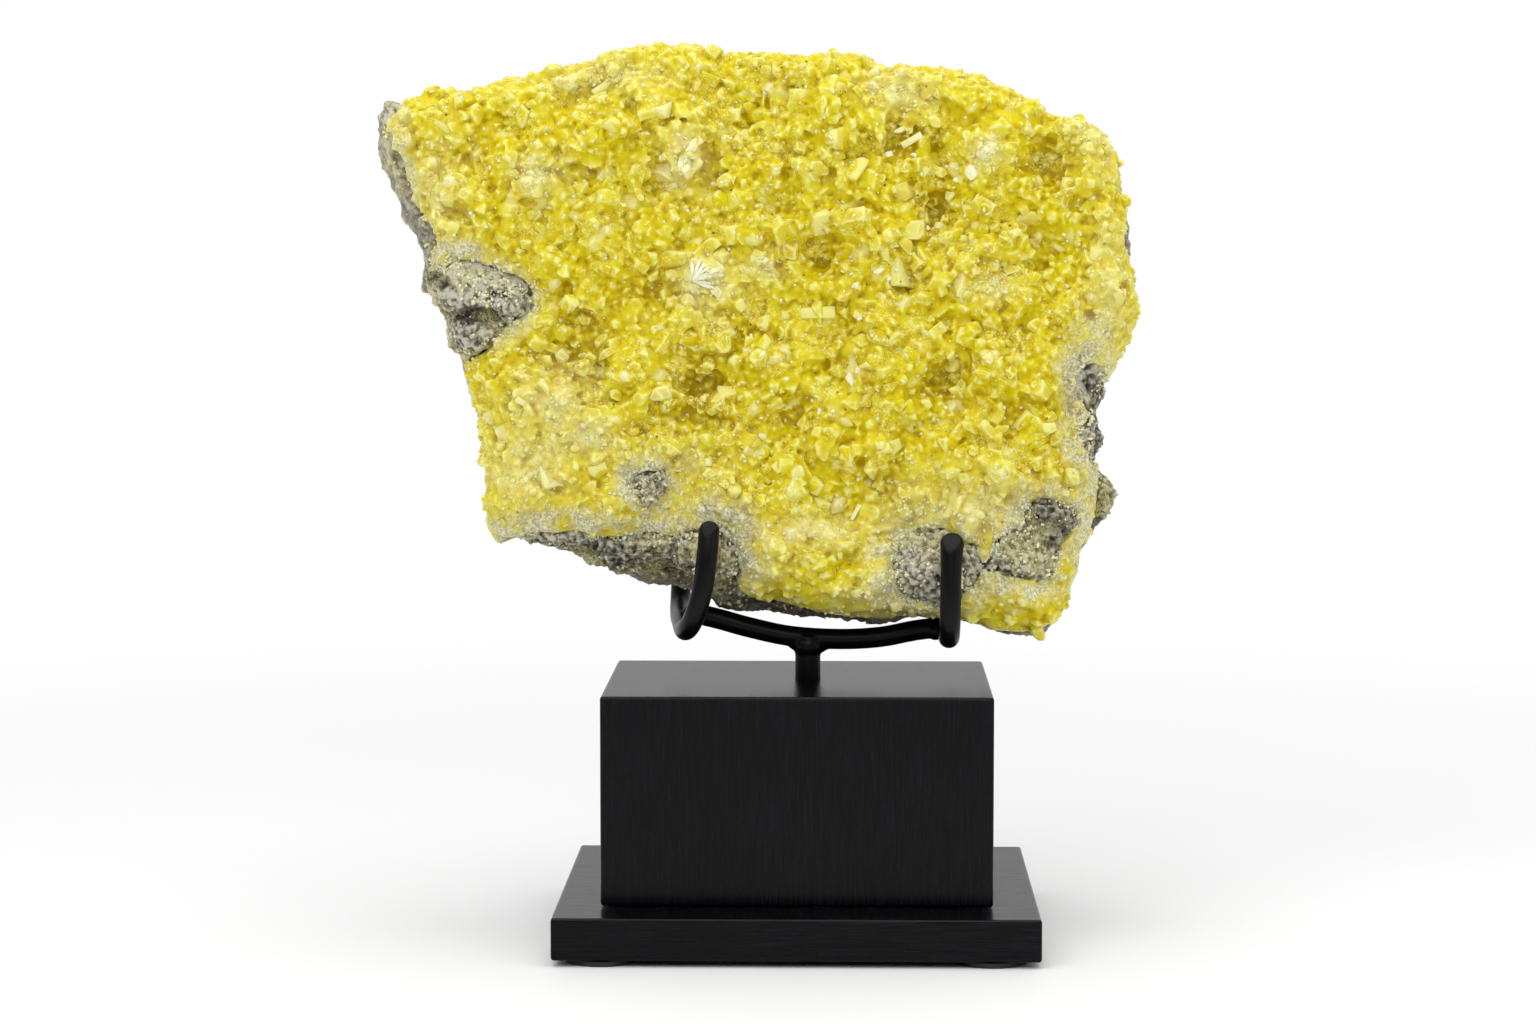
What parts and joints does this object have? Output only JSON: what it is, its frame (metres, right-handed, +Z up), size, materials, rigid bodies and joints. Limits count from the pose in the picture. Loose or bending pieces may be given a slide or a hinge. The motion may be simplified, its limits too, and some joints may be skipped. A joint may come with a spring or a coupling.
{
  "type": "native sulfur crystal",
  "caption": "Slab of grey host rock crusted with yellow native sulfur crystals, held upright by a black steel cradle with hooks on a stepped black wooden base.",
  "frame": {"origin": "on the floor, under the middle of the whole object", "axes": "+Z up; -Y towards the crystal face, +Y towards the bare back of the rock; +X to the right as the crystal face is seen"},
  "size_m": [0.2039, 0.1064, 0.2368],
  "materials": {
    "sulfur": "waxy, resinous crystal faces",
    "host_rock": "rough and porous",
    "black_steel": "satin black",
    "black_wood": "black stain and satin lacquer over fine open grain",
    "foot_rubber": "matt"
  },
  "bodies": {
    "root": {"sulfur_crystals": "sulfur", "host_rock": "host_rock", "left_hook": "black_steel", "right_hook": "black_steel", "crossbar": "black_steel", "stem": "black_steel", "block": "black_wood", "plinth": "black_wood", "foot_front_left": "foot_rubber", "foot_front_right": "foot_rubber", "foot_back_left": "foot_rubber", "foot_back_right": "foot_rubber"}
  },
  "joints": []
}
